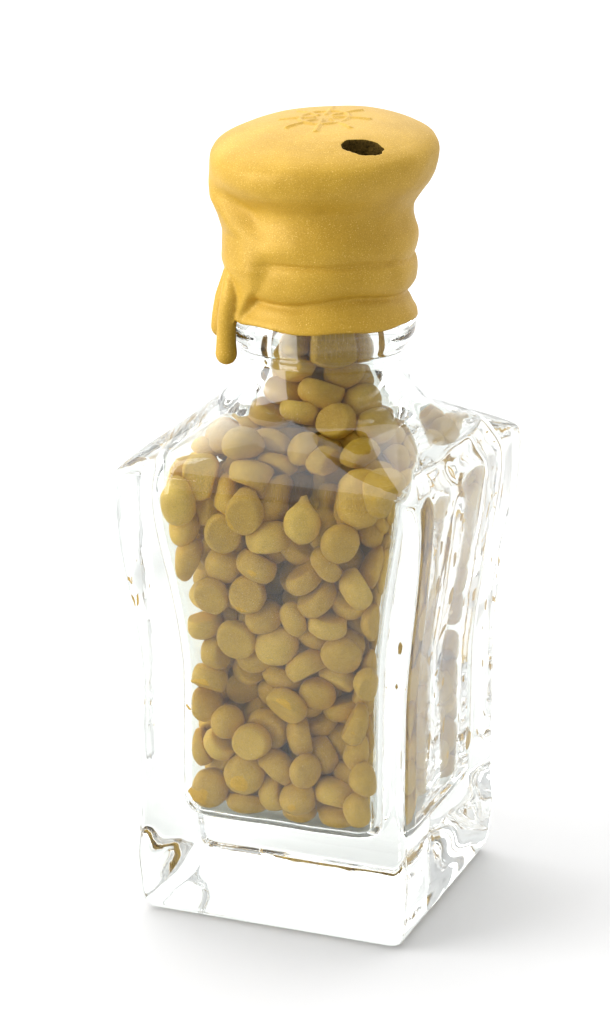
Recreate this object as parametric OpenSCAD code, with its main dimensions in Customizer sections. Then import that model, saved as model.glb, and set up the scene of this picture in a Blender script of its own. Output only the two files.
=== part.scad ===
// Square miniature decanter bottle of clear glass, filled with loose gold-coloured pellets.
// A wide stopper closes the neck, and stopper and mouth are sealed with a dipped wax coat.
// Units are millimetres, +Z is up, and the origin is the middle of the base on the table.
// The front face looks along -Y.

/* [Bottle] */
// Width across the flats of the lower body
body_w = 36.8; // [36.4:0.1:38]
// Width across the flats at the shoulder
shoulder_w = 41.8; // [41:0.1:43.5]
// Height of the shoulder ridge
shoulder_z = 60.5; // [60.5:0.1:62]
// Thickness of the heavy glass base
base_t = 12.8; // [10:0.1:13.2]
// Thickness of the side walls
wall_t = 4.6; // [3.6:0.1:4.7]
// Corner rounding of the outer body
corner_r = 1.2; // [0.8:0.1:2.5]
// Corner rounding of the hollow
hollow_r = 2.8; // [2:0.1:4]

/* [Neck] */
// Diameter of the neck below the ring
neck_d = 21.1; // [20.5:0.1:22]
// Diameter of the transfer ring
ring_d = 24; // [23.5:0.1:24.6]
// Diameter of the bore
bore_d = 12.8; // [12.4:0.1:14]
// Height of the lip, where the stopper sits
lip_z = 92.4; // [92:0.1:93]

/* [Stopper] */
// Diameter of the stopper head
head_d = 26; // [24:0.1:26.4]
// Height of the stopper head
head_h = 6; // [5:0.1:6]
// Length of the shank in the bore
shank_l = 13; // [9:0.5:13]
// Radial clearance of the shank in the bore
shank_gap = 0.05; // [0.02:0.01:0.1]

/* [Wax seal] */
// Outer diameter of the wax over the head
crown_d = 28.9; // [28.6:0.1:30]
// Lean of the wax top towards the front, in degrees
crown_lean = 5; // [0:0.5:5]
// Diameter of the puncture in the wax top
hole_d = 5.4; // [4:0.1:6]
// Diameter of the drips
drip_d = 2.7; // [2:0.1:3]

/* [Pellets] */
// Pellet diameter
pellet_d = 5.3; // [4.6:0.1:5.3]
// Pellet thickness
pellet_t = 3.1; // [2.4:0.1:3.1]
// Narrowest gap between neighbouring pellets
pellet_gap = 0.04; // [0.02:0.01:0.04]

/* [View] */
// Piece to draw, or "all"

/* [Hidden] */
$fn = 64;

// ---- outline of the glass ----

body_h = body_w / 2;
shoulder_h = shoulder_w / 2;
neck_r = neck_d / 2;
ring_r = ring_d / 2;
bore_r = bore_d / 2;

flare_z = 31.6;          // the walls start to spread here
flare_top_z = 58;        // and stand upright again here
heel_z = 8;              // height of the faint swell of the heel
heel_out = 0.2;          // how far it stands out
edge_r = 1.5;            // rounding where the sides meet the underside
neck_z = 74;             // the shoulder has become the neck here
round_z = shoulder_z + 6.2;   // the section has become a circle here
ridge_in = 0.3;          // how far the shoulder ridge is set in from the widest line

function smooth(t) = let (u = min(max(t, 0), 1)) u * u * (3 - 2 * u);

function mix(a, b, t) = a + (b - a) * t;

// Half width of the body at height z, from the underside up to the shoulder.
function half_w(z) =
  mix(body_h, shoulder_h, smooth((z - flare_z) / (flare_top_z - flare_z)))
  + heel_out * smooth(1 - abs(z - heel_z) / 5);

// A point of the cubic curve with the four control points p.
function bezier(p, t) =
  pow(1 - t, 3) * p[0] + 3 * t * pow(1 - t, 2) * p[1]
  + 3 * t * t * (1 - t) * p[2] + pow(t, 3) * p[3];

// The shoulder falls from its ridge to the neck in one hollow sweep.
shoulder_curve = [
  [shoulder_h - ridge_in, shoulder_z],
  [shoulder_h - ridge_in - 3.6, shoulder_z + 2.8],
  [neck_r, shoulder_z + 7.7],
  [neck_r, neck_z]
];

// [half width, height] of the face centres, from the foot to the neck.
side_points = concat(
  [for (a = [0:30:90]) [body_h - 0.3 - edge_r * (1 - sin(a)), edge_r * (1 - cos(a))]],
  [for (z = [3.5, 6, 8, 10, 13, 24]) [half_w(z), z]],
  [for (z = [flare_z:4.4:flare_top_z]) [half_w(z), z]],
  [[shoulder_h, shoulder_z - 2], [shoulder_h - 0.08, shoulder_z - 0.9]],
  [for (i = [0:10]) bezier(shoulder_curve, i / 10)]
);

// Corner rounding at height z: constant on the body, a full circle above the shoulder.
function corner(h, z, r) = mix(r, h, min(max((z - shoulder_z) / (round_z - shoulder_z), 0), 1));

// The points of a square of half width h at height z, with its corners rounded by r.
corner_steps = 8;

function ring(h, r, z) = [
  for (q = [0:3], i = [0.5:1:corner_steps])
    let (a = 90 * q + 90 * i / corner_steps, mid = 90 * q + 45, c = (h - r) * sqrt(2))
      [c * cos(mid) + r * cos(a), c * sin(mid) + r * sin(a), z]
];

// A closed form with one such ring for each [half width, height].
module lofted(points, r) {
  n = 4 * corner_steps;
  levels = len(points);
  rings = [for (p = points) each ring(p[0], corner(p[0], p[1], r), p[1])];
  sides = [
    for (k = [0:levels - 2], i = [0:n - 1])
      let (a = k * n + i, b = k * n + (i + 1) % n)
        each [[a, a + n, b + n], [a, b + n, b]]
  ];
  foot = [for (i = [0:n - 1]) i];
  top = [for (i = [n - 1:-1:0]) (levels - 1) * n + i];
  polyhedron(points = rings, faces = concat([foot, top], sides), convexity = 4);
}

// ---- neck, ring and lip, all turned ----

ring_z = neck_z + 3.6;        // widest line of the transfer ring
finish_r = 9.8;               // glass between ring and bead
bead_r = 11.1;
groove_r = 10.7;
lip_r = 11.2;

neck_points = [
  [mix(neck_r, ring_r, 0.3), neck_z + 0.8],
  [mix(neck_r, ring_r, 0.45), neck_z + 1.2],
  [mix(neck_r, ring_r, 0.8), neck_z + 2],
  [ring_r - 0.05, neck_z + 3],
  [ring_r, ring_z],
  [ring_r - 0.3, neck_z + 4.6],
  [ring_r - 1.1, neck_z + 5.4],
  [finish_r, neck_z + 6],
  [finish_r, lip_z - 10],
  [bead_r - 0.4, lip_z - 9.3],
  [bead_r, lip_z - 8.5],
  [bead_r, lip_z - 7.2],
  [groove_r, lip_z - 6],
  [lip_r, lip_z - 4.7],
  [lip_r, lip_z - 3],
  [lip_r - 0.7, lip_z - 0.8],
  [lip_r - 1.1, lip_z]
];

// ---- hollow ----

hollow_w = body_h - wall_t;
shoulder_t = wall_t - 0.7;    // the wall is a little thinner at the shoulder

function hollow_w_at(z) =
  half_w(z) - mix(wall_t, shoulder_t, smooth((z - 44) / (flare_top_z - 44)));

bore_start_z = neck_z - 2;    // the hollow meets the bore here

hollow_points = concat(
  [[hollow_w - 3, base_t], [hollow_w - 1.6, base_t + 0.35], [hollow_w - 0.5, base_t + 1.3]],
  [for (z = [base_t + 3, 24]) [half_w(z) - wall_t, z]],
  [for (z = [flare_z:4.4:flare_top_z - 1]) [hollow_w_at(z), z]],
  [for (i = [0:8]) bezier([
    [shoulder_h - shoulder_t - 0.1, shoulder_z - 2.2],
    [shoulder_h - shoulder_t - 1.9, shoulder_z + 0.8],
    [bore_r - 0.15, shoulder_z + 4.2],
    [bore_r - 0.15, bore_start_z + 0.5]
  ], i / 8)]
);

punt_r = 14;             // the shallow dish in the underside
punt_depth = 0.9;
punt_ball_r = (punt_r * punt_r + punt_depth * punt_depth) / (2 * punt_depth);

// Neck, ring, bead and lip, solid to the axis.
module finish_form() {
  bottom = neck_points[0][1];
  rotate_extrude()
    polygon(concat([[0, bottom]], neck_points, [[0, lip_z]]));
}

module glass_bottle() {
  color([0.82, 0.88, 0.86, 0.45])
    difference() {
      union() {
        lofted(concat(side_points, [[neck_r, neck_z + 1.2]]), corner_r);
        finish_form();
      }
      lofted(hollow_points, hollow_r);
      translate([0, 0, bore_start_z])
        cylinder(r = bore_r, h = 30);
      translate([0, 0, punt_depth - punt_ball_r])
        sphere(r = punt_ball_r);
    }
}

// ---- stopper ----

head_r = head_d / 2;
shank_r = bore_r - shank_gap;
peg_r = 2.5;             // peg of the head, glued into the shank
peg_l = 7;
seat_gap = 0.02;         // the head rests this far above the lip
seat_z = lip_z + seat_gap;

// The puncture in the wax goes on a little way into the head.
hole_xy = [7.8, -5.8];
hole_floor_z = seat_z + head_h - 2.2;

module puncture() {
  translate([hole_xy[0], hole_xy[1], hole_floor_z])
    cylinder(d = hole_d, h = 10);
}

module head_form() {
  rotate_extrude()
    polygon([
      [0, seat_z], [lip_r - 1, seat_z], [lip_r - 0.9, seat_z + 1.9], [head_r - 1.9, seat_z + 3.2],
      [head_r - 0.5, seat_z + 4.2], [head_r, seat_z + 4.8], [head_r, seat_z + head_h - 0.7],
      [head_r - 0.3, seat_z + head_h - 0.2], [head_r - 0.9, seat_z + head_h], [0, seat_z + head_h]
    ]);
}

module stopper_head() {
  color([0.24, 0.17, 0.1]) {
    difference() {
      head_form();
      puncture();
    }
    translate([0, 0, seat_z - peg_l])
      cylinder(r = peg_r, h = peg_l + 0.5);
  }
}

module stopper_shank() {
  chamfer = 0.8;
  color([0.76, 0.6, 0.42])
    difference() {
      rotate_extrude()
        polygon([
          [0, seat_z - shank_l], [shank_r - chamfer, seat_z - shank_l],
          [shank_r, seat_z - shank_l + chamfer], [shank_r, seat_z], [0, seat_z]
        ]);
      translate([0, 0, seat_z - peg_l])
        cylinder(r = peg_r, h = peg_l + 1);
    }
}

// ---- wax seal ----

crown_r = crown_d / 2;
waist_r = 11.35;         // wax where the head meets the lip
wax_top_z = seat_z + 10.4;
relief_h = 0.35;         // how far the pressed pattern stands up
run_angle = 216;         // the thick run of wax down the left of the seal
run_w = 6;

// A plain eight-rayed rosette pressed into the middle of the wax top.
module rosette() {
  ring_out = 3.4;
  ray_l = 5.8;
  translate([0, 0, wax_top_z - 1.2]) {
    for (a = [0:45:315])
      rotate([0, 0, a + 10])
        translate([1.2, -0.3, 0])
          cube([ray_l - 1.2, 0.6, 1.2 + relief_h - 0.1]);
    difference() {
      cylinder(r = ring_out, h = 1.2 + relief_h);
      translate([0, 0, -1])
        cylinder(r = ring_out - 0.7, h = 5);
    }
  }
}

module crown_form() {
  intersection() {
    translate([0, 0, seat_z])
      rotate([crown_lean, 0, 0])
        translate([0, 0, -seat_z]) {
          rotate_extrude()
            polygon([
              [0, seat_z - 3], [waist_r - 0.1, seat_z - 3], [waist_r, seat_z],
              [waist_r + 0.05, seat_z + 0.6], [crown_r - 2.5, seat_z + 1.5],
              [crown_r - 1.7, seat_z + 2.4], [crown_r - 0.85, seat_z + 3.4],
              [crown_r - 0.2, seat_z + 4.5], [crown_r, seat_z + 5.7], [crown_r - 0.05, seat_z + 6.6],
              [crown_r - 0.45, seat_z + 7.4], [crown_r - 1.3, seat_z + 7.9],
              [crown_r - 3, seat_z + 8.3], [crown_r - 4.6, seat_z + 9.3],
              [crown_r - 6.6, seat_z + 9.9], [crown_r - 9.4, seat_z + 10.25], [0, wax_top_z]
            ]);
          rosette();
        }
    translate([-20, -20, seat_z])
      cube([40, 40, 30]);
  }
}

// A thick run of wax beside the axis at the given angle, with a rounded outer side.
module run(angle, width, out_r, low_z, high_z) {
  rotate([0, 0, angle])
    translate([0, 0, low_z])
      linear_extrude(height = high_z - low_z) {
        translate([out_r - width / 2, 0])
          circle(d = width);
        translate([out_r - width / 2 - 4, -width / 2])
          square([4, width]);
      }
}

module wax_crown() {
  color([0.8, 0.62, 0.2])
    difference() {
      union() {
        crown_form();
        run(run_angle, run_w, crown_r - 2, seat_z, seat_z + 3.4);
      }
      head_form();
      puncture();
    }
}

// A drip that leaves the collar at high_z and hangs free beside the ring, with a round end.
module drip(angle, low_z, high_z) {
  r = drip_d / 2;
  out_r = ring_r + drip_d - 0.6;
  rotate([0, 0, angle])
    translate([out_r - r, 0, low_z + r]) {
      sphere(r = r);
      cylinder(r = r, h = ring_z + 2 - low_z - r);
    }
  run(angle, drip_d, out_r, ring_z + 1.5, high_z);
}

module wax_collar() {
  color([0.78, 0.6, 0.19])
    difference() {
      union() {
        rotate_extrude()
          polygon([
            [0, neck_z + 4.3], [ring_r + 0.05, neck_z + 4.3], [ring_r + 0.05, neck_z + 4.8],
            [ring_r - 0.55, neck_z + 5.6], [finish_r + 0.8, neck_z + 6.8],
            [finish_r + 0.75, lip_z - 10.2], [bead_r + 0.3, lip_z - 9.4], [bead_r + 0.75, lip_z - 8.6],
            [bead_r + 0.85, lip_z - 7.5], [groove_r + 0.9, lip_z - 6.2], [groove_r + 0.95, lip_z - 5.5],
            [lip_r + 0.85, lip_z - 4.5], [lip_r + 0.85, lip_z - 3.2], [lip_r + 0.3, lip_z - 1.6],
            [waist_r, lip_z - 0.8], [waist_r, lip_z], [0, lip_z]
          ]);
        drip(224, 72.4, 86);
        drip(198, 75, 83.5);
        run(run_angle, run_w, waist_r + 1.4, ring_z + 6, lip_z);
      }
      finish_form();
    }
}

// ---- pellets ----

// The pellets lie in layers, each layer set into the hollows of the one below, at the spacing
// of equal balls, so any pellet can face any way without touching its neighbours.
pellet_r = pellet_d / 2;
ball_r = norm([pellet_r, pellet_t * 0.1]);
pitch = 2 * ball_r + pellet_gap;
layer_z = pitch / sqrt(2);
first_z = base_t + ball_r + 0.05;

// Repeatable scatter between 0 and 1 for pellet i, j of layer k.
function scatter(i, j, k, s) =
  let (v = sin(i * 127.1 + j * 311.7 + k * 74.7 + s * 53.3) * 437.5853) v - floor(v);

// Half width of the hollow at height z, found on its outline.
hollow_table = [for (p = hollow_points) [p[1], p[0]]];

function hollow_half(z) = z > bore_start_z ? bore_r : lookup(z, hollow_table);

// A ball clears the hollow when its sections from bottom to top all do.
function fits(x, y, z) =
  min([for (dz = [-ball_r:ball_r / 3:ball_r])
    let (
      h = hollow_half(max(z + dz, base_t)),
      r = corner(h, z + dz, hollow_r),
      side = sqrt(max(ball_r * ball_r - dz * dz, 0)),
      c = h - r,
      dx = max(abs(x) - c, 0),
      dy = max(abs(y) - c, 0)
    )
      norm([dx, dy]) <= r - side - 0.05 ? 1 : 0]) == 1;

module pellet() {
  rotate_extrude($fn = 32)
    polygon([
      [0, -pellet_t / 2], [pellet_r * 0.5, -pellet_t * 0.45], [pellet_r * 0.9, -pellet_t * 0.2],
      [pellet_r, 0], [pellet_r, pellet_t * 0.1], [pellet_r * 0.82, pellet_t / 2],
      [0, pellet_t / 2]
    ]);
}

module pellets_layer(k) {
  odd = k % 2;
  z = first_z + k * layer_z;
  color([0.78, 0.62, 0.34])
    for (i = [-4:4], j = [-4:4]) {
      x = (i + odd / 2) * pitch;
      y = (j + odd / 2) * pitch;
      if (fits(x, y, z))
        translate([x, y, z])
          rotate([100 * scatter(i, j, k, 1) - 50, 360 * scatter(i, j, k, 2), 360 * scatter(i, j, k, 3)])
            pellet();
    }
}

// In the neck the pellets stand on edge in threes, each three turned across the one below.
top_layer = 13;
neck_first_z = first_z + top_layer * layer_z + 2 * ball_r + 0.1;

module pellets_neck(k) {
  color([0.78, 0.62, 0.34])
    translate([0, 0, neck_first_z + k * pitch])
      for (side = [-1:1])
        rotate([0, 0, 40 + 90 * k])
          translate([0, side * (pellet_t + 0.2), 0])
            rotate([90, 0, 0])
              pellet();
}

glass_bottle();
stopper_head();
stopper_shank();
wax_crown();
wax_collar();
pellets_layer(0);  // pellets_layer_01
pellets_layer(1);  // pellets_layer_02
pellets_layer(2);  // pellets_layer_03
pellets_layer(3);  // pellets_layer_04
pellets_layer(4);  // pellets_layer_05
pellets_layer(5);  // pellets_layer_06
pellets_layer(6);  // pellets_layer_07
pellets_layer(7);  // pellets_layer_08
pellets_layer(8);  // pellets_layer_09
pellets_layer(9);  // pellets_layer_10
pellets_layer(10);  // pellets_layer_11
pellets_layer(11);  // pellets_layer_12
pellets_layer(12);  // pellets_layer_13
pellets_layer(13);  // pellets_layer_14
pellets_neck(0);  // pellets_neck_01
pellets_neck(1);  // pellets_neck_02
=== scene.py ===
"""The look of a square miniature decanter full of gold-coloured pellets, sealed with dipped gold wax.

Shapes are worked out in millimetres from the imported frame's own sizes and written to Blender in metres.
The bottle's front face looks along -Y. Angles round the bottle are measured from +X towards +Y.
"""

import math

import bmesh
import bpy
import numpy as np
from mathutils import Matrix, Vector, noise


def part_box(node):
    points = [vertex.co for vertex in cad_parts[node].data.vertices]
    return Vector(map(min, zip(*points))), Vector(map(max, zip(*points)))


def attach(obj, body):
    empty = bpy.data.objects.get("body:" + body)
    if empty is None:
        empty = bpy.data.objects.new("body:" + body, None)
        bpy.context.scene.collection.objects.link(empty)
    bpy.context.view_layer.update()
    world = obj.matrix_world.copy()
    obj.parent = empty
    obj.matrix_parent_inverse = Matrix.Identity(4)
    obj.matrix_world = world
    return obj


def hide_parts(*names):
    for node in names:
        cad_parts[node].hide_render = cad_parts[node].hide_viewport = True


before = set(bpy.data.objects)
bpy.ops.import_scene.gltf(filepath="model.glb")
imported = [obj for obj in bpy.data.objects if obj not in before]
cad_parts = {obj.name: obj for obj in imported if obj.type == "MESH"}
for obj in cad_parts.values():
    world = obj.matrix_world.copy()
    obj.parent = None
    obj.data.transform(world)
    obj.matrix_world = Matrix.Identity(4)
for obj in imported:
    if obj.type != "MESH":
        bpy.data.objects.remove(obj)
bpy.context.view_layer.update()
MM = 0.001


def node_box(name):
    """Lowest and highest corner of a CAD node, in millimetres."""
    low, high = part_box(name)
    return np.array(low) / MM, np.array(high) / MM


# ---- main sizes, read from the frame ----

GLASS_LOW, GLASS_HIGH = node_box("glass_bottle")
SHANK_LOW, SHANK_HIGH = node_box("stopper_shank")
HEAD_LOW, HEAD_HIGH = node_box("stopper_head")
CROWN_HIGH = node_box("wax_crown")[1]

SHOULDER_H = (GLASS_HIGH[0] - GLASS_LOW[0]) / 2
BODY_H = SHOULDER_H - 2.5
LIP_Z = GLASS_HIGH[2]
BORE_R = (SHANK_HIGH[0] - SHANK_LOW[0]) / 2 + 0.05
HEAD_R = (HEAD_HIGH[0] - HEAD_LOW[0]) / 2
SEAT_Z = SHANK_HIGH[2]              # the stopper's head sits on the lip, and the wax parts here

WALL_T = 4.6
SHOULDER_T = 3.9                    # the wall gets this thin at the shoulder
BASE_T = 12.8
CORNER_R = 1.2                      # upright edges of the outside
HOLLOW_R = 2.8                      # upright edges of the hollow
HOLLOW_TURN = math.radians(1.5)     # the hollow sits slightly turned in the body
SHOULDER_Z = LIP_Z - 31.9           # ridge between body and shoulder
NECK_Z = LIP_Z - 18.4               # top of the shoulder's sweep, under the transfer ring
NECK_R = 10.55
RING_R = 12.0                       # transfer ring
FLARE_Z = (31.6, 58.0)              # the body widens between these heights
ROUND_Z = SHOULDER_Z + 6.2          # the section is a full circle from here up
FILL_TOP_Z = SHANK_LOW[2] - 0.2
DISH_R, DISH_DEPTH = 14.0, 0.9      # shallow dish under the foot
FOOT_R = 1.5                        # rounding of the foot
THIN_Z = 44                         # the wall starts to get thinner here
WAVE_DEPTH, WAVE_LENGTH = 0.085, 12.3  # waves in the flat walls of the hollow
WAVE_H = 13.8                       # distance from the axis at which their length is measured
SHELL_STEP, SHELL_BLUR = 0.45, 0.55  # spacing and rounding of the outer outline


# ---- outline of the glass ----


def smooth(t):
    t = np.clip(t, 0.0, 1.0)
    return t * t * (3 - 2 * t)


def half_width(z):
    """Half width of the outer body at height z, from the foot to the shoulder."""
    flare = smooth((z - FLARE_Z[0]) / (FLARE_Z[1] - FLARE_Z[0]))
    heel = 0.3 * smooth(1 - abs(z - 8.0) / 5.0)
    return BODY_H + (SHOULDER_H - BODY_H) * flare + heel


def hollow_half(z):
    """Half width of the hollow at height z: the wall gets a little thinner towards the shoulder."""
    return half_width(z) - WALL_T + (WALL_T - SHOULDER_T) * smooth((z - THIN_Z) / (FLARE_Z[1] - THIN_Z))


def bezier(points, count):
    """Points along the cubic curve with these four control points."""
    p = np.array(points, float)
    t = np.linspace(0, 1, count)[:, None]
    return (1 - t) ** 3 * p[0] + 3 * t * (1 - t) ** 2 * p[1] + 3 * t * t * (1 - t) * p[2] + t**3 * p[3]


def soften(points, step, blur):
    """The outline resampled every step mm, with its corners rounded over about blur mm. Its ends stay."""
    p = np.array(points, float)
    run = np.concatenate([[0], np.cumsum(np.linalg.norm(np.diff(p, axis=0), axis=1))])
    count = max(int(run[-1] / step), 8)
    s = np.linspace(0, run[-1], count + 1)
    q = np.stack([np.interp(s, run, p[:, 0]), np.interp(s, run, p[:, 1])], 1)
    reach = int(3 * blur / step)
    if reach < 1:
        return q
    kernel = np.exp(-0.5 * (np.arange(-reach, reach + 1) * step / blur) ** 2)
    kernel /= kernel.sum()
    before = 2 * q[0] - q[reach:0:-1]
    after = 2 * q[-1] - q[-2 : -reach - 2 : -1]
    padded = np.concatenate([before, q, after])
    return np.stack([np.convolve(padded[:, k], kernel, "valid") for k in (0, 1)], 1)


def corner_radius(h, z, r):
    """Corner rounding at height z: r on the body, a little more at the shoulder, a full circle above it."""
    t = np.clip((z - SHOULDER_Z) / (ROUND_Z - SHOULDER_Z), 0, 1)
    r = r + 0.5 * smooth((z - SHOULDER_Z + 6.0) / 6.0)
    return np.minimum(r + (h - r) * t, h)


def outer_outline():
    """[half width, height] of the outside, from the foot to the lip."""
    foot = [
        (BODY_H - 0.3 - FOOT_R * (1 - math.sin(a)), FOOT_R * (1 - math.cos(a)))
        for a in np.linspace(0, math.pi / 2, 6)
    ]
    side = [(half_width(z), z) for z in np.arange(3.0, SHOULDER_Z - 1.6, 1.0)]
    ridge = [
        (SHOULDER_H - 0.05, SHOULDER_Z - 0.9),
        (SHOULDER_H - 0.4, SHOULDER_Z + 0.1),
        (SHOULDER_H - 1.1, SHOULDER_Z + 1.0),
    ]
    shoulder = bezier(
        [
            (SHOULDER_H - 1.9, SHOULDER_Z + 1.7),
            (SHOULDER_H - 4.4, SHOULDER_Z + 3.6),
            (NECK_R, SHOULDER_Z + 7.7),
            (NECK_R, NECK_Z),
        ],
        24,
    )
    ring = [
        (NECK_R, NECK_Z + 0.5),
        (NECK_R + 0.35, NECK_Z + 0.75),
        (RING_R - 0.3, NECK_Z + 1.6),
        (RING_R, NECK_Z + 2.9),
        (RING_R, NECK_Z + 3.9),
        (RING_R - 0.35, NECK_Z + 4.7),
        (RING_R - 1.2, NECK_Z + 5.5),
        (9.8, NECK_Z + 6.2),
    ]
    lip = [
        (9.8, LIP_Z - 10),
        (11.0, LIP_Z - 9),
        (11.1, LIP_Z - 7.4),
        (10.7, LIP_Z - 6),
        (11.2, LIP_Z - 4.7),
        (11.2, LIP_Z - 3),
        (10.4, LIP_Z - 0.7),
        (9.9, LIP_Z),
    ]
    return foot + side + ridge + [tuple(p) for p in shoulder] + ring + lip


def hollow_outline():
    """[half width, height] of the hollow, from its floor to the mouth of the bore."""
    inner = BODY_H - WALL_T
    floor = [
        (inner - 3, BASE_T),
        (inner - 1.4, BASE_T + 0.3),
        (inner - 0.4, BASE_T + 1.2),
        (inner, BASE_T + 3),
    ]
    side = [(hollow_half(z), z) for z in np.arange(BASE_T + 4, FLARE_Z[1] - 0.5, 1.5)]
    shoulder = bezier(
        [
            (SHOULDER_H - SHOULDER_T - 0.1, SHOULDER_Z - 2.2),
            (SHOULDER_H - SHOULDER_T - 0.4, SHOULDER_Z + 2.8),
            (BORE_R + 3.0, SHOULDER_Z + 5.6),
            (BORE_R, NECK_Z - 1.5),
        ],
        20,
    )
    return floor + side + [tuple(p) for p in shoulder] + [(BORE_R, LIP_Z)]


# ---- mesh helpers ----


def ring_angles():
    """Angles round the bottle, closer together where the corners are."""
    quarter = np.concatenate([np.linspace(-38, 38, 27)[:-1], np.linspace(38, 52, 25)[:-1]])
    return np.radians(np.concatenate([quarter + 90 * k for k in range(4)]))


def square_ring(angles, h, r):
    """Distance from the axis to a square of half width h with corners rounded by r, at each angle."""
    u = np.maximum(abs(np.cos(angles)), abs(np.sin(angles)))
    v = np.minimum(abs(np.cos(angles)), abs(np.sin(angles)))
    c = h - r
    root = np.sqrt(np.maximum(c * c * (u + v) ** 2 - 2 * c * c + r * r, 0))
    return np.where(h * v <= c * u, h / u, c * (u + v) + root)


def wall_waves(angles):
    """Shallow upright waves in the flat walls of the hollow, as blown glass has."""
    off = (angles + math.pi / 4) % (math.pi / 2) - math.pi / 4
    across = np.tan(off) * WAVE_H
    fade = smooth((math.radians(43) - abs(off)) / math.radians(12))
    return -WAVE_DEPTH * np.sin(2 * math.pi * (across + 4.5) / WAVE_LENGTH) * fade / np.cos(off)


def new_object(name, verts_mm, faces, material):
    """A smooth-shaded object with this mesh, given in millimetres."""
    mesh = bpy.data.meshes.new(name)
    mesh.from_pydata((np.asarray(verts_mm) * MM).tolist(), [], faces)
    mesh.update()
    mesh.polygons.foreach_set("use_smooth", np.ones(len(mesh.polygons), bool))
    mesh.materials.append(material)
    obj = bpy.data.objects.new(name, mesh)
    bpy.context.scene.collection.objects.link(obj)
    return obj


def skin(rings):
    """Vertices and faces of a closed form through rings of equal size, with a pole at each end."""
    n = len(rings[0])
    verts = np.concatenate(rings)
    first = np.array([[0, 0, rings[0][:, 2].mean()]])
    last = np.array([[0, 0, rings[-1][:, 2].mean()]])
    verts = np.concatenate([verts, first, last])
    base = np.arange(n)
    nxt = (base + 1) % n
    faces = []
    for k in range(len(rings) - 1):
        a, b = k * n, (k + 1) * n
        faces += np.stack([base + a, nxt + a, nxt + b, base + b], 1).tolist()
    end = (len(rings) - 1) * n
    pole = len(rings) * n
    faces += np.stack([nxt, base, np.full(n, pole)], 1).tolist()
    faces += np.stack([base + end, nxt + end, np.full(n, pole + 1)], 1).tolist()
    return verts, faces


def wave(x, y, z, scale, seed):
    """Smooth noise between about -1 and 1 at a place in mm, with lumps about scale mm long."""
    return noise.noise(Vector((x / scale + seed * 7.3, y / scale - seed * 3.1, z / scale + seed * 1.7)))


# ---- materials ----


class Shader:
    """A Principled material whose node tree is put together a few lines at a time."""

    def __init__(self, name, **values):
        self.material = bpy.data.materials.new(name)
        self.material.use_nodes = True
        self.tree = self.material.node_tree
        self.bsdf = self.tree.nodes["Principled BSDF"]
        for key, value in values.items():
            self.bsdf.inputs[key.replace("_", " ")].default_value = value
        self.place = self.node("ShaderNodeTexCoord").outputs["Object"]

    def node(self, kind, **settings):
        made = self.tree.nodes.new(kind)
        for key, value in settings.items():
            setattr(made, key, value)
        return made

    def link(self, a, b):
        self.tree.links.new(a, b)

    def noise(self, size_mm, detail=2.0, roughness=0.5, distortion=0.0):
        """Noise whose lumps are about size_mm across."""
        made = self.node("ShaderNodeTexNoise")
        made.inputs["Scale"].default_value = 1 / (size_mm * MM)
        made.inputs["Detail"].default_value = detail
        made.inputs["Roughness"].default_value = roughness
        made.inputs["Distortion"].default_value = distortion
        self.link(self.place, made.inputs["Vector"])
        return made.outputs["Fac"]

    def ramp(self, source, stops):
        made = self.node("ShaderNodeValToRGB")
        elements = made.color_ramp.elements
        while len(elements) < len(stops):
            elements.new(0.5)
        for element, (place, colour) in zip(elements, stops):
            element.position = place
            element.color = (*colour, 1)
        self.link(source, made.inputs["Fac"])
        return made.outputs["Color"]

    def mix(self, factor, a, b, blend="MIX"):
        made = self.node("ShaderNodeMix", data_type="RGBA", blend_type=blend)
        for socket, value in ((made.inputs[0], factor), (made.inputs[6], a), (made.inputs[7], b)):
            if hasattr(value, "is_linked"):
                self.link(value, socket)
            elif isinstance(value, tuple):
                socket.default_value = (*value, 1)
            else:
                socket.default_value = value
        return made.outputs[2]

    def bump(self, height, strength, distance_mm, after=None):
        made = self.node("ShaderNodeBump")
        made.inputs["Strength"].default_value = strength
        made.inputs["Distance"].default_value = distance_mm * MM
        self.link(height, made.inputs["Height"])
        if after is not None:
            self.link(after, made.inputs["Normal"])
        return made.outputs["Normal"]

    def colour(self, socket):
        self.link(socket, self.bsdf.inputs["Base Color"])

    def normal(self, socket):
        self.link(socket, self.bsdf.inputs["Normal"])

    def roughness(self, source, low, high):
        made = self.node("ShaderNodeMapRange")
        made.inputs["To Min"].default_value = low
        made.inputs["To Max"].default_value = high
        self.link(source, made.inputs["Value"])
        self.link(made.outputs["Result"], self.bsdf.inputs["Roughness"])


def glass_material():
    s = Shader("clear_glass", Roughness=0.0, IOR=1.5)
    s.bsdf.inputs["Transmission Weight"].default_value = 1.0
    tint = s.ramp(s.noise(14, 1), [(0.3, (0.86, 0.9, 0.873)), (0.7, (0.89, 0.92, 0.9))])
    s.colour(tint)
    s.normal(s.bump(s.noise(5, 2), 0.12, 0.3))
    return s.material


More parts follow.
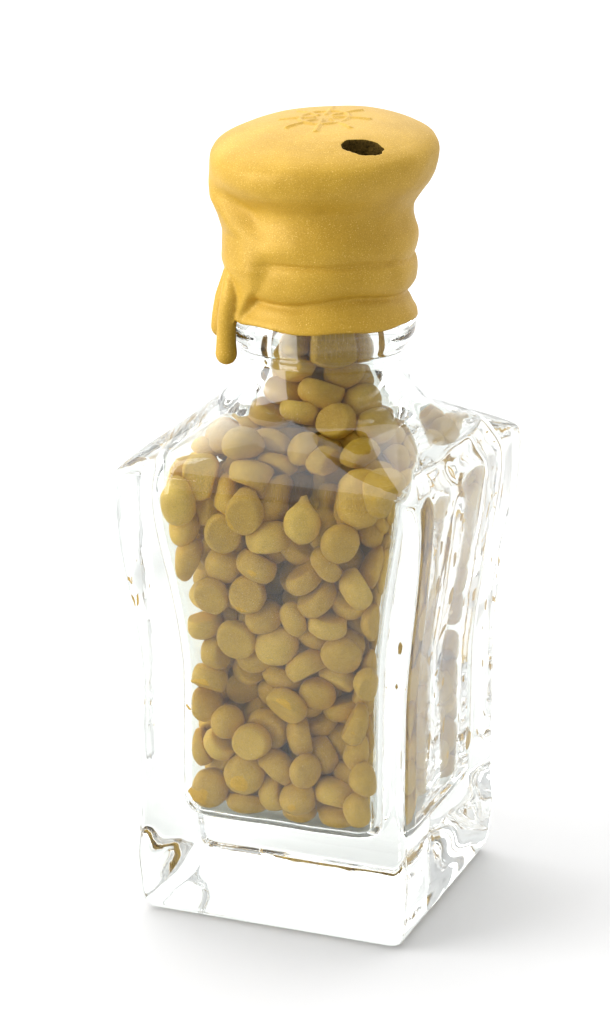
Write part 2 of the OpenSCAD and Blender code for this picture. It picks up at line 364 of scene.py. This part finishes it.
def wax_material():
    s = Shader("gold_wax", Metallic=0.12, IOR=1.42)
    body = s.ramp(s.noise(6, 3), [(0.3, (0.46, 0.27, 0.018)), (0.7, (0.55, 0.33, 0.03))])
    specks_and_glints = s.noise(0.14, 2, 0.8)
    dark = s.ramp(specks_and_glints, [(0.34, (0.6, 0.6, 0.6)), (0.52, (1, 1, 1))])
    # painted glints: the highest spots of the fine speck noise are mixed to pale gold (1.0, 0.75, 0.26) in
    # the base colour, standing in for flakes catching the light; the darker specks below are the wax's own
    painted_glint = s.ramp(specks_and_glints, [(0.62, (0, 0, 0)), (0.76, (1, 1, 1))])
    body = s.mix(0.5, body, dark, "MULTIPLY")
    s.colour(s.mix(painted_glint, body, (1.0, 0.75, 0.26)))
    s.roughness(s.noise(0.3, 3), 0.46, 0.62)
    fine = s.bump(s.noise(0.18, 2, 0.7), 0.25, 0.05)
    s.normal(s.bump(s.noise(2.5, 3), 0.3, 0.25, fine))
    return s.material


def shaded_puncture_material():
    # painted shade: the walls of the puncture are coloured near black to dark olive, standing in for the
    # shade inside the hole, over a rough matte torn-wax surface
    s = Shader("shaded_puncture_wax", IOR=1.4, Roughness=0.9)
    s.bsdf.inputs["Specular IOR Level"].default_value = 0.1
    grain = s.noise(0.35, 4, 0.7)
    shades = [(0.3, (0.02, 0.012, 0.002)), (0.6, (0.12, 0.075, 0.015)), (0.8, (0.28, 0.18, 0.03))]
    s.colour(s.ramp(grain, shades))
    s.normal(s.bump(grain, 0.8, 0.3))
    return s.material


def pellet_material():
    s = Shader("gold_pellet", Metallic=0.0, IOR=1.4)
    s.bsdf.inputs["Specular IOR Level"].default_value = 0.3
    each = s.node("ShaderNodeNewGeometry").outputs["Random Per Island"]
    body = s.ramp(each, [(0.0, (0.68, 0.4, 0.045)), (0.5, (0.78, 0.48, 0.06)), (1.0, (0.87, 0.56, 0.09))])
    cloud = s.ramp(s.noise(1.6, 4, 0.6), [(0.3, (0.8, 0.77, 0.7)), (0.65, (1, 1, 1))])
    body = s.mix(0.6, body, cloud, "MULTIPLY")
    specks_and_glints = s.noise(0.13, 2, 0.8)
    dark = s.ramp(specks_and_glints, [(0.36, (0.55, 0.5, 0.42)), (0.5, (1, 1, 1))])
    # painted glints: the highest spots of the fine speck noise are mixed to pale gold (1.0, 0.82, 0.45) in
    # the base colour, standing in for flakes catching the light; the darker specks below are the pellets'
    # own
    painted_glint = s.ramp(specks_and_glints, [(0.63, (0, 0, 0)), (0.75, (1, 1, 1))])
    body = s.mix(0.5, body, dark, "MULTIPLY")
    s.colour(s.mix(painted_glint, body, (1.0, 0.82, 0.45)))
    s.roughness(s.noise(0.4, 3), 0.42, 0.6)
    fine = s.bump(s.noise(0.15, 2, 0.7), 0.3, 0.04)
    s.normal(s.bump(s.noise(1.8, 3), 0.35, 0.2, fine))
    return s.material


def wood_material():
    s = Shader("dark_wood", IOR=1.45)
    grain = s.noise(0.5, 5, 0.65, 2.0)
    shades = [(0.3, (0.035, 0.022, 0.008)), (0.55, (0.11, 0.075, 0.028)), (0.75, (0.3, 0.2, 0.06))]
    s.colour(s.ramp(grain, shades))
    s.roughness(grain, 0.6, 0.85)
    s.normal(s.bump(grain, 0.6, 0.3))
    return s.material


def cork_material():
    s = Shader("cork", IOR=1.4)
    grain = s.noise(0.8, 4, 0.7)
    shades = [(0.32, (0.2, 0.11, 0.05)), (0.45, (0.5, 0.33, 0.17)), (0.7, (0.63, 0.45, 0.26))]
    s.colour(s.ramp(grain, shades))
    s.roughness(grain, 0.75, 0.95)
    s.normal(s.bump(grain, 0.5, 0.2))
    return s.material


GLASS = glass_material()
WAX = wax_material()
SHADED_PUNCTURE_WAX = shaded_puncture_material()
PELLET = pellet_material()


# ---- glass bottle ----


def build_glass():
    """One closed wall: up the outside, over the lip, down the bore and round the hollow."""
    angles = ring_angles()
    wall = []

    def add(h, r, z, ripple, turn=0.0, waves=0.0):
        rho = square_ring(angles, h, r) + waves * wall_waves(angles)
        if ripple:
            rows = [wave(h * math.cos(a), h * math.sin(a), z / 2, 7.0, 3) for a in angles]
            rho = rho + ripple * np.array(rows)
        turned = angles + turn
        wall.append(np.stack([rho * np.cos(turned), rho * np.sin(turned), np.full(len(angles), z)], 1))

    for t in (0.25, 0.5, 0.75, 1.0):
        h = DISH_R * t
        add(h, h * 0.9, DISH_DEPTH * (1 - t * t), 0)
    outline = soften(outer_outline(), SHELL_STEP, SHELL_BLUR)
    outline[:, 1] = np.clip(outline[:, 1], 0, LIP_Z)
    for h, z in outline:
        add(h, float(corner_radius(h, z, CORNER_R)), z, 0.04 if z < NECK_Z else 0.015)
    inside = soften(hollow_outline(), 0.6, 0.5)[::-1]
    for h, z in inside:
        fade = float(smooth((NECK_Z - z) / 8))
        r = float(corner_radius(h, z, HOLLOW_R))
        add(h, r, z, 0.03 + 0.05 * fade, HOLLOW_TURN * fade, fade)
    for t in (0.75, 0.5, 0.25):
        h = inside[-1][0] * t
        add(h, h * 0.9, BASE_T + 0.25 * (1 - t * t), 0, HOLLOW_TURN)
    verts, faces = skin(wall)
    return new_object("glass_bottle_wall", verts, faces, GLASS)


# ---- pellets ----

PELLET_R = 2.7
PELLET_T = 3.3
PELLET_RIM = 1.3            # radius of the balls round a pellet's edge
PELLET_COUNT = 535
NECK_COUNT = 11             # how many of them start in the neck
SEED_R = 0.9                # room that each pellet starts with
SINK = (0.006, 0.002)       # how far pellets sink in a round, at first and at the end
WALL_PUSH = 1.2             # how hard the wall pushes, next to another pellet
SHIFT_SHARE, SHIFT_MAX = 0.175, 0.4  # how much of the pushes moves a pellet in a round, and the limit
SPIN_SHARE, SPIN_MAX = 0.52, 0.15    # the same for its turning
SETTLE_ROUNDS = 420


class Hollow:
    """The inside of the bottle, for keeping balls within it."""

    def __init__(self):
        outline = soften(hollow_outline(), 0.4, 0.5)
        self.z = np.linspace(BASE_T, LIP_Z, 800)
        order = np.argsort(outline[:, 1], kind="stable")
        self.h = np.interp(self.z, outline[order, 1], outline[order, 0])
        self.slope = np.clip(np.gradient(self.h, self.z), -1.5, 1.5)
        self.r = corner_radius(self.h, self.z, HOLLOW_R)

    def push(self, p, radius, gap=0.15):
        """The moves that bring balls at p back inside the wall, the floor and the shank above them."""
        h = np.interp(p[:, 2], self.z, self.h)
        r = np.interp(p[:, 2], self.z, self.r)
        slope = np.interp(p[:, 2], self.z, self.slope)
        ax, ay = abs(p[:, 0]), abs(p[:, 1])
        dx, dy = np.maximum(ax - (h - r), 0), np.maximum(ay - (h - r), 0)
        far = np.hypot(dx, dy)
        corner = (dx > 0) & (dy > 0)
        out = np.where(corner, far - r, np.maximum(ax, ay) - h)
        gx = np.where(corner, dx / np.maximum(far, 1e-9), ax >= ay) * np.sign(p[:, 0])
        gy = np.where(corner, dy / np.maximum(far, 1e-9), ay > ax) * np.sign(p[:, 1])
        lean = np.sqrt(1 + slope * slope)
        over = np.maximum(out / lean + radius + gap, 0)
        move = np.stack([-gx / lean * over, -gy / lean * over, slope / lean * over], 1)
        move[:, 2] += np.maximum(BASE_T + gap + 0.25 + radius - p[:, 2], 0)
        move[:, 2] -= np.maximum(p[:, 2] + radius - FILL_TOP_Z, 0)
        return move


def random_turns(rng, count):
    q = rng.normal(size=(count, 4))
    w, x, y, z = (q / np.linalg.norm(q, axis=1)[:, None]).T
    rows = [
        1 - 2 * (y * y + z * z), 2 * (x * y - z * w), 2 * (x * z + y * w),
        2 * (x * y + z * w), 1 - 2 * (x * x + z * z), 2 * (y * z - x * w),
        2 * (x * z - y * w), 2 * (y * z + x * w), 1 - 2 * (x * x + y * y),
    ]
    return np.stack(rows, 1).reshape(-1, 3, 3)


def small_turns(w):
    """Rotation matrices for the turn vectors w."""
    angle = np.linalg.norm(w, axis=1) + 1e-12
    k = w / angle[:, None]
    cross = np.zeros((len(w), 3, 3))
    cross[:, 0, 1], cross[:, 0, 2], cross[:, 1, 2] = -k[:, 2], k[:, 1], -k[:, 0]
    cross[:, 1, 0], cross[:, 2, 0], cross[:, 2, 1] = k[:, 2], -k[:, 1], k[:, 0]
    sine, rest = np.sin(angle)[:, None, None], (1 - np.cos(angle))[:, None, None]
    return np.eye(3) + sine * cross + rest * (cross @ cross)


def settle_pellets(rounds):
    """Pellets grown from seeds in the hollow, each a rigid cluster of balls, pushed apart as they sink."""
    rng = np.random.default_rng(11)
    hollow = Hollow()
    around = np.arange(7) * 2 * math.pi / 7
    ring_r = PELLET_R - PELLET_RIM
    balls = np.stack([ring_r * np.cos(around), ring_r * np.sin(around), np.zeros(7)], 1)
    balls = np.concatenate([balls, [[0, 0, -0.1]]])
    radii = np.concatenate([np.full(7, PELLET_RIM), [PELLET_T / 2 - 0.05]])
    size = rng.uniform(0.87, 1.06, PELLET_COUNT)

    low, high = [-18, -18, BASE_T + 1.5], [18, 18, FILL_TOP_Z - 1.5]
    seeds = rng.uniform(low, high, (PELLET_COUNT * 12, 3))
    seeds = seeds[abs(hollow.push(seeds, np.full(len(seeds), SEED_R))).sum(1) == 0]
    in_neck = seeds[:, 2] > NECK_Z - 1
    neck = seeds[in_neck][:NECK_COUNT]
    place = np.concatenate([neck, seeds[~in_neck][: PELLET_COUNT - len(neck)]])
    turn = random_turns(rng, PELLET_COUNT)
    first = second = None
    for step in range(rounds):
        grown = size * min(1.0, 0.55 + step / rounds)
        offset = np.einsum("nij,kj->nki", turn, balls) * grown[:, None, None]
        p = place[:, None, :] + offset
        r = radii[None, :] * grown[:, None]
        if step % 5 == 0:
            apart = ((place[:, None, :] - place[None, :, :]) ** 2).sum(2)
            reach = (PELLET_R * (grown[:, None] + grown[None, :]) + 0.8) ** 2
            first, second = np.nonzero(np.triu(apart < reach, 1))
        between = p[first][:, :, None, :] - p[second][:, None, :, :]
        distance = np.sqrt((between**2).sum(3)) + 1e-9
        overlap = np.maximum(r[first][:, :, None] + r[second][:, None, :] - distance, 0)
        push = between * (0.5 * overlap / distance)[..., None]
        move = np.zeros_like(p)
        np.add.at(move, first, push.sum(2))
        np.add.at(move, second, -push.sum(1))
        move += WALL_PUSH * hollow.push(p.reshape(-1, 3), r.reshape(-1)).reshape(p.shape)
        shift = move.sum(1) * SHIFT_SHARE
        shift *= np.minimum(1, SHIFT_MAX / np.maximum(np.linalg.norm(shift, axis=1, keepdims=True), 1e-9))
        spin = np.cross(offset, move).sum(1) / ((offset**2).sum((1, 2))[:, None] + 1e-6) * SPIN_SHARE
        spin *= np.minimum(1, SPIN_MAX / np.maximum(np.linalg.norm(spin, axis=1, keepdims=True), 1e-9))
        place = place + shift
        place[:, 2] -= SINK[0] if step < 0.7 * rounds else SINK[1]
        turn = small_turns(spin) @ turn
    return place, turn, size


def pellet_template(segments):
    """A poured drop of radius 1: one side flat with a soft rim, the other side domed."""
    profile = [
        (0.0, 0.5), (0.45, 0.505), (0.72, 0.51), (0.81, 0.5), (0.865, 0.47), (0.905, 0.42),
        (0.955, 0.3), (0.99, 0.14), (1.0, -0.03), (0.97, -0.2), (0.88, -0.37), (0.73, -0.51),
        (0.52, -0.61), (0.27, -0.66), (0.0, -0.68),
    ]
    angles = np.arange(segments) * 2 * math.pi / segments
    rings = []
    for r, z in profile[-2:0:-1]:
        rings.append(np.stack([r * np.cos(angles), r * np.sin(angles), np.full(segments, z)], 1))
    verts, faces = skin(rings)
    verts[-2] = (0, 0, profile[-1][1])
    verts[-1] = (0, 0, profile[0][1])
    return verts, faces


def build_pellets():
    """One object for each CAD layer, holding the pellets whose middles lie at its height."""
    layers = sorted(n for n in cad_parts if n.startswith("pellets_"))
    middles = [(node_box(n)[0][2] + node_box(n)[1][2]) / 2 for n in layers]
    edges = [(a + b) / 2 for a, b in zip(middles, middles[1:])]
    place, turn, size = settle_pellets(SETTLE_ROUNDS)
    swing = Matrix.Rotation(HOLLOW_TURN, 3, "Z")
    place, turn = place @ np.array(swing).T, np.array(swing) @ turn
    template, template_faces = pellet_template(22)
    rng = np.random.default_rng(5)
    level = np.searchsorted(edges, place[:, 2])
    for k, name in enumerate(layers):
        verts, faces, count = [], [], 0
        for i in np.nonzero(level == k)[0]:
            oval = rng.uniform(0.95, 1.05)
            thick = rng.uniform(0.86, 1.08)
            scale = PELLET_R * size[i] * np.array([oval, 1 / oval, thick])
            seed = rng.uniform(0, 50)
            dents = np.array([noise.noise(Vector(v) * 1.5 + Vector((seed, 0, 0))) for v in template])
            small = np.array([noise.noise(Vector(v) * 3.4 + Vector((0, seed, 0))) for v in template])
            local = template * (1 + 0.05 * dents + 0.02 * small)[:, None] * scale
            verts.append(local @ turn[i].T + place[i])
            faces += [[v + count for v in f] for f in template_faces]
            count += len(template)
        obj = new_object(name.replace("pellets", "loose_pellets"), np.concatenate(verts), faces, PELLET)
        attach(obj, "bottle")
        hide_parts(name)


# ---- wax seal ----

LEFT = math.radians(201)     # the side of the bottle that the runs are on
CROWN_TILT = (0.03, 0.09)    # how fast the wax top rises along X and along Y
HOLE_XY = (7.8, -7.5)
HOLE_R = (2.6, 1.55)         # the puncture is wider one way than the other
HOLE_TURN = math.radians(21)
MARK_R = 6.2                 # the pressed pattern lies inside this
MARK_HEIGHT = 0.3
NECK_GAP = 0.03              # between the wax and what it coats
VOXEL = 0.22
# Each drip hangs at an angle from LEFT, through [sideways, distance from the axis, height, radius].
DRIPS = (
    (21.0, [(0.0, 12.1, 84.5, 1.2), (0.6, 12.75, 81.5, 1.3), (0.0, 12.95, 78.5, 1.3),
            (-0.4, 12.95, 75.5, 1.28), (-0.5, 12.9, 73.9, 1.42)]),
    (-2.0, [(0.0, 11.7, 83.5, 1.1), (0.0, 12.6, 80.5, 1.2), (0.0, 12.9, 78.0, 1.3),
            (0.0, 12.95, 76.3, 1.4)]),
)


def wax_outline():
    """[radius, height] of the wax from its lower edge to the middle of the top."""
    return [
        (10.2, 78.9), (11.6, 78.35), (12.1, 78.25), (12.2, 78.6), (12.0, 79.2), (11.5, 80.0),
        (11.15, 80.9), (10.55, 81.7), (10.5, 81.95), (11.3, 82.3), (11.85, 83.2), (12.05, 84.4),
        (12.0, 85.4), (11.8, 86.1), (11.25, 86.5), (11.8, 86.9), (12.12, 88.2), (12.05, 89.4),
        (11.6, 90.7), (11.33, 91.7), (11.4, 92.9), (11.85, 93.7), (12.65, 94.7), (13.35, 95.5),
        (13.95, 96.5), (14.35, 97.7), (14.5, 98.8), (14.4, 99.7), (14.0, 100.4), (13.2, 101.05),
        (12.0, 101.65), (10.6, 102.15), (9.0, 102.6), (7.0, 103.0), (4.5, 103.3), (0.01, 103.4),
    ]


def bell(x, middle, width):
    """1 at the middle, falling smoothly to 0 at width to either side."""
    return 0.5 + 0.5 * math.cos(math.pi * min(abs(x - middle) / width, 1.0))


def run_surface(angle, z, r):
    """The wax surface with the thick run laid over it: r where there is no run."""
    turn = math.degrees((angle - LEFT + math.pi) % (2 * math.pi) - math.pi)
    heights = [78.3, 80, 82, 84, 86, 88, 89.6, 91.5, 93.4, 96, 98.5]
    near = np.interp(z, heights, [12, 9, 6, 3, -4, -12, -20, -30, -40, -40, -40])
    far = np.interp(z, heights, [30, 33, 39, 46, 50, 47, 43, 33, 24, 14, 8])
    surface = np.interp(z, heights, [12.6, 12.4, 12.3, 12.5, 13.0, 12.9, 12.8, 13.5, 14.3, 14.5, 14.5])
    edge = np.interp(z, [83, 89], [4, 24])
    cover = smooth((turn - near) / 9 + 0.5) * smooth((far - turn) / edge + 0.5)
    return r + cover * max(surface - r, 0.0)


def groove_wander(angle, z):
    """How far the ridges and grooves of the collar rise and fall round the neck."""
    a = angle - math.radians(293)
    wander = 0.28 * math.sin(2 * a + 0.6) + 0.2 * math.sin(3 * a - 1.0 + 0.4 * z)
    wander += 0.16 * math.sin(5 * a + z)
    inside = min(max((z - 79.0) / 2.0, 0), 1) * min(max((91.5 - z) / 2.0, 0), 1)
    edge = 0.16 * math.sin(7 * a + 0.5) * bell(z, 78.4, 1.2)
    return wander * inside + edge


def build_wax_blank():
    """The whole wax coat as one solid with its run, before it is hollowed and cut."""
    outline = soften(wax_outline(), 0.2, 0.2)
    angles = np.arange(220) * 2 * math.pi / 220
    rings = []
    for r, z in outline:
        lift = min(max((z - 93.0) / 5.0, 0), 1)
        points = []
        for a in angles:
            base_r = run_surface(a, z, r) if r > 9 and z < 98.5 else r
            x, y = r * math.cos(a), r * math.sin(a)
            lump = 0.22 * wave(x, y, z, 6.0, 1) + 0.07 * wave(x, y, z, 2.2, 2)
            rho = max(base_r + lump * min(1.0, r / 6), 0.01)
            x, y = rho * math.cos(a), rho * math.sin(a)
            top = 0.12 * wave(x, y, z, 7.0, 4) * lift
            tilt = lift * (CROWN_TILT[0] * x + CROWN_TILT[1] * y)
            points.append((x, y, z + groove_wander(a, z) + top + tilt))
        rings.append(np.array(points))
    verts, faces = skin(rings)
    return new_object("wax_blank", verts, faces, WAX)


def build_drip(angle, path):
    """A hanging run of wax through [sideways, distance from the axis, height, radius], with round ends."""
    out = Vector((math.cos(angle), math.sin(angle), 0))
    side = Vector((-math.sin(angle), math.cos(angle), 0))
    rows = np.array(path)
    t = np.linspace(0, len(path) - 1, 40)
    rows = np.stack([np.interp(t, np.arange(len(path)), rows[:, k]) for k in range(4)], 1)
    for _ in range(3):
        rows[1:-1] = (rows[:-2] + 2 * rows[1:-1] + rows[2:]) / 4
    around = np.arange(20) * 2 * math.pi / 20

    def ring(row, slope):
        """A ring of the drip's ball at this row, slope degrees up from its middle."""
        s, d, z, r = row
        k = math.radians(slope)
        middle = out * d + side * s + Vector((0, 0, z))
        middle += Vector((0, 0, r * math.sin(k)))
        spokes = [out * math.cos(a) + side * math.sin(a) for a in around]
        return [tuple(middle + spoke * r * math.cos(k)) for spoke in spokes]

    rings = [ring(rows[0], slope) for slope in (80, 55, 30)]
    rings += [ring(row, 0) for row in rows]
    rings += [ring(rows[-1], slope) for slope in (-25, -50, -75)]
    rings = [np.array(points) for points in rings[::-1]]
    verts, faces = skin(rings)
    verts[-2] = rings[0].mean(0)
    verts[-1] = rings[-1].mean(0)
    return new_object("drip", verts, faces, WAX)


def use_modifiers(obj):
    """Replaces the object's mesh with what its modifiers make of it."""
    bpy.context.view_layer.update()
    graph = bpy.context.evaluated_depsgraph_get()
    mesh = bpy.data.meshes.new_from_object(obj.evaluated_get(graph), depsgraph=graph)
    obj.modifiers.clear()
    old = obj.data
    obj.data = mesh
    bpy.data.meshes.remove(old)


def join(parts):
    """The first part with the other parts' meshes added to it."""
    bm = bmesh.new()
    for part in parts:
        bm.from_mesh(part.data)
    bm.to_mesh(parts[0].data)
    bm.free()
    for part in parts[1:]:
        bpy.data.objects.remove(part)
    return parts[0]


def rosette_height(x, y):
    """Height, 0 to 1, of the pressed pattern: a plain ring with eight straight rays."""
    r = math.hypot(x, y)
    if r > MARK_R:
        return 0.0
    turn = (math.atan2(y, x) - math.radians(10) + math.pi / 8) % (math.pi / 4) - math.pi / 8
    across = r * abs(math.sin(turn))
    ray = 1 - smooth((across - 0.1) / 0.3) if 1.2 < r < 5.9 else 0.0
    ring = 1 - smooth((abs(r - 3.05) - 0.1) / 0.3)
    return float(max(ray, ring)) * (0.7 + 0.3 * wave(x, y, 0, 1.5, 6))


def neck_blank(grow):
    """The glass finish and the stopper's head as one solid, larger by grow, to cut from the wax."""
    outline = [(0.01, NECK_Z - 3), (NECK_R + grow, NECK_Z - 3)]
    glass = soften(outer_outline(), SHELL_STEP, 0.35)
    outline += [(r + grow, z) for r, z in glass if NECK_Z - 2.5 < z < LIP_Z - 0.6]
    head_r = HEAD_R + grow
    outline += [
        (10.2 + grow, LIP_Z - 0.1),
        (10.3 + grow, SEAT_Z + 1.9),
        (head_r - 1.9, SEAT_Z + 3.2),
        (head_r - 0.5, SEAT_Z + 4.2),
        (head_r, SEAT_Z + 4.8),
        (head_r, HEAD_HIGH[2] - 0.5),
        (head_r - 0.6, HEAD_HIGH[2] + grow),
        (0.01, HEAD_HIGH[2] + grow),
    ]
    angles = np.arange(96) * 2 * math.pi / 96
    rings = [np.stack([r * np.cos(angles), r * np.sin(angles), np.full(96, z)], 1) for r, z in outline]
    verts, faces = skin(rings)
    return new_object("neck_blank", verts, faces, WAX)


def hole_blank():
    """A rough-walled plug for the puncture in the wax top; the cut walls take its dark wax, coloured as
    painted shade.
    """
    angles = np.arange(40) * 2 * math.pi / 40
    rings = []
    for z in np.arange(HEAD_HIGH[2] - 2.0, CROWN_HIGH[2] + 3, 0.35):
        flare = 0.04 * max(0.0, 1 - abs(z - 100.9) / 0.8)
        rough = []
        for a in angles:
            x, y = 3 * math.cos(a), 3 * math.sin(a)
            rough.append(1 + flare + 0.1 * wave(x, y, z, 1.2, 8) + 0.06 * wave(x, y, z, 0.5, 9))
        rho = np.array(rough)
        u, v = HOLE_R[0] * rho * np.cos(angles), HOLE_R[1] * rho * np.sin(angles)
        x = HOLE_XY[0] + u * math.cos(HOLE_TURN) - v * math.sin(HOLE_TURN)
        y = HOLE_XY[1] + u * math.sin(HOLE_TURN) + v * math.cos(HOLE_TURN)
        rings.append(np.stack([x, y, np.full(40, z)], 1))
    verts, faces = skin(rings)
    verts[-2][:2] = HOLE_XY
    verts[-1][:2] = HOLE_XY
    return new_object("hole_blank", verts, faces, SHADED_PUNCTURE_WAX)


def subtract(obj, tool):
    """Cuts the tool out of obj, gives the cut the tool's material, and deletes the tool."""
    cut = obj.modifiers.new("cut", "BOOLEAN")
    cut.operation = "DIFFERENCE"
    cut.solver = "EXACT"
    cut.object = tool
    cut.material_mode = "TRANSFER"
    use_modifiers(obj)
    bpy.data.objects.remove(tool)


def drop_specks(bm):
    """Deletes the folded slivers that cutting can leave, joined to the rest at an edge of four faces."""
    seen, specks = set(), []
    for start in bm.faces:
        if start in seen:
            continue
        seen.add(start)
        island, queue = [], [start]
        while queue:
            face = queue.pop()
            island.append(face)
            clean = [edge for edge in face.edges if len(edge.link_faces) == 2]
            for other in {f for edge in clean for f in edge.link_faces} - seen:
                seen.add(other)
                queue.append(other)
        if len(island) < 60:
            specks += island
    bmesh.ops.delete(bm, geom=specks, context="FACES")


def cut_at(obj, z_mm, keep_above, name):
    """A copy of obj with only what lies above or below the height, its cut closed."""
    mesh = obj.data.copy()
    bm = bmesh.new()
    bm.from_mesh(mesh)
    done = bmesh.ops.bisect_plane(
        bm,
        geom=bm.verts[:] + bm.edges[:] + bm.faces[:],
        dist=1e-7,
        plane_co=(0, 0, z_mm * MM),
        plane_no=(0, 0, 1),
        clear_inner=keep_above,
        clear_outer=not keep_above,
    )
    rim = [g for g in done["geom_cut"] if isinstance(g, bmesh.types.BMEdge)]
    bmesh.ops.triangle_fill(bm, use_beauty=True, use_dissolve=False, edges=rim)
    for edge in rim:
        if edge.is_valid:
            edge.smooth = False
    bmesh.ops.triangulate(bm, faces=bm.faces[:])
    drop_specks(bm)
    bmesh.ops.recalc_face_normals(bm, faces=bm.faces[:])
    bm.to_mesh(mesh)
    bm.free()
    part = bpy.data.objects.new(name, mesh)
    bpy.context.scene.collection.objects.link(part)
    return part


def build_wax():
    """Blank and drips fused, marked, hollowed, punctured, and parted at the stopper's seat."""
    drips = [build_drip(LEFT + math.radians(turn), path) for turn, path in DRIPS]
    coat = join([build_wax_blank()] + drips)
    remesh = coat.modifiers.new("remesh", "REMESH")
    remesh.mode = "VOXEL"
    remesh.voxel_size = VOXEL * MM
    remesh.use_smooth_shade = True
    even = coat.modifiers.new("even", "SMOOTH")
    even.factor = 0.5
    even.iterations = 4
    use_modifiers(coat)
    for v in coat.data.vertices:
        if v.co.z > 101.2 * MM:
            v.co.z += MARK_HEIGHT * MM * rosette_height(v.co.x / MM, v.co.y / MM)
    if not coat.data.materials:
        coat.data.materials.append(WAX)
    subtract(coat, neck_blank(NECK_GAP))
    subtract(coat, hole_blank())
    coat.data.polygons.foreach_set("use_smooth", np.ones(len(coat.data.polygons), bool))
    crown = cut_at(coat, SEAT_Z, True, "wax_crown_coat")
    collar = cut_at(coat, SEAT_Z, False, "wax_collar_coat")
    bpy.data.objects.remove(coat)
    for obj, node, body in ((crown, "wax_crown", "stopper"), (collar, "wax_collar", "bottle")):
        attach(obj, body)
        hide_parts(node)


# ---- build ----

glass = build_glass()
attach(glass, "bottle")
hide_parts("glass_bottle")
build_pellets()
build_wax()

for name, material in (("stopper_head", wood_material()), ("stopper_shank", cork_material())):
    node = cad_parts[name]
    node.data.materials.clear()
    node.data.materials.append(material)


# ---- stage ----


def build_floor():
    """Pale paper, whiter far behind the bottle, and with painted shade darkening it towards the front."""
    mesh = bpy.data.meshes.new("floor")
    bm = bmesh.new()
    bmesh.ops.create_grid(bm, x_segments=8, y_segments=8, size=4.0)
    bm.to_mesh(mesh)
    bm.free()
    s = Shader("floor_paper", Roughness=0.9)
    paper = s.ramp(s.noise(900, 2), [(0.3, (0.67, 0.67, 0.667)), (0.7, (0.69, 0.69, 0.687))])
    apart = s.node("ShaderNodeSeparateXYZ")
    s.link(s.place, apart.inputs["Vector"])
    # Behind the bottle the paper is lighter so the backdrop reads white; in front of it the dark band is
    # painted shade, standing in for the dim camera side that the glass shows.
    for start, end, shade in ((0.08, 0.35, (0.84, 0.84, 0.836)), (-0.058, -0.13, (0.34, 0.336, 0.332))):
        reach = s.node("ShaderNodeMapRange", interpolation_type="SMOOTHSTEP")
        reach.inputs["From Min"].default_value = start
        reach.inputs["From Max"].default_value = end
        s.link(apart.outputs["Y"], reach.inputs["Value"])
        paper = s.mix(reach.outputs["Result"], paper, shade)
    s.colour(paper)
    mesh.materials.append(s.material)
    floor = bpy.data.objects.new("floor", mesh)
    floor.location.z = -0.15 * MM
    bpy.context.scene.collection.objects.link(floor)


def build_world():
    """White all round, dimmer on the side that the camera looks from."""
    world = bpy.data.worlds.new("studio")
    bpy.context.scene.world = world
    world.use_nodes = True
    tree = world.node_tree
    background = tree.nodes["Background"]
    background.inputs["Strength"].default_value = 1.25
    coord = tree.nodes.new("ShaderNodeTexCoord")
    dot = tree.nodes.new("ShaderNodeVectorMath")
    dot.operation = "DOT_PRODUCT"
    front = math.radians(-67)
    dot.inputs[1].default_value = (math.cos(front) * 0.64, math.sin(front) * 0.64, 0.77)
    tree.links.new(coord.outputs["Generated"], dot.inputs[0])
    ramp = tree.nodes.new("ShaderNodeValToRGB")
    ramp.color_ramp.elements[0].position = 0.25
    ramp.color_ramp.elements[0].color = (1, 1, 1, 1)
    ramp.color_ramp.elements[1].position = 0.85
    ramp.color_ramp.elements[1].color = (0.5, 0.5, 0.51, 1)
    tree.links.new(dot.outputs["Value"], ramp.inputs["Fac"])
    tree.links.new(ramp.outputs["Color"], background.inputs["Color"])


def add_lamp(name, place, target, size, power):
    lamp = bpy.data.lights.new(name, "AREA")
    lamp.shape = "RECTANGLE"
    lamp.size, lamp.size_y = size
    lamp.energy = power
    obj = bpy.data.objects.new(name, lamp)
    obj.location = place
    obj.rotation_euler = (Vector(target) - Vector(place)).to_track_quat("-Z", "Y").to_euler()
    bpy.context.scene.collection.objects.link(obj)


def add_camera():
    """The camera looks at the bottle from the front right, a little above it."""
    yaw, pitch, roll = math.radians(20.99), math.radians(17.44), math.radians(0.33)
    focal_length, sensor = 112.32421875, 36.0
    distance, aside, above = 412.8, 2.19, 7.97
    back = Vector((math.sin(yaw) * math.cos(pitch), -math.cos(yaw) * math.cos(pitch), math.sin(pitch)))
    right = Vector((math.cos(yaw), math.sin(yaw), 0))
    up = back.cross(right)
    right, up = right * math.cos(roll) + up * math.sin(roll), up * math.cos(roll) - right * math.sin(roll)
    place = Vector((0, 0, 60)) + back * distance - right * aside - up * above
    lens = bpy.data.cameras.new("camera")
    lens.sensor_width = sensor
    lens.lens = focal_length
    lens.clip_start = 0.01
    lens.clip_end = 20
    camera = bpy.data.objects.new("camera", lens)
    camera.matrix_world = Matrix(
        [
            (right.x, up.x, back.x, place.x * MM),
            (right.y, up.y, back.y, place.y * MM),
            (right.z, up.z, back.z, place.z * MM),
            (0, 0, 0, 1),
        ]
    )
    bpy.context.scene.collection.objects.link(camera)
    bpy.context.scene.camera = camera


build_floor()
build_world()
add_lamp("top_softbox", (-0.25, 0.25, 0.75), (0, 0, 0.05), (1.3, 1.3), 8.5)
add_lamp("left_softbox", (-0.5, -0.42, 0.24), (0, 0, 0.05), (0.5, 0.5), 5)
add_camera()

scene = bpy.context.scene
scene.view_settings.view_transform = "Standard"
scene.cycles.max_bounces = 24
scene.cycles.transmission_bounces = 24
scene.cycles.glossy_bounces = 24
scene.cycles.transparent_max_bounces = 24
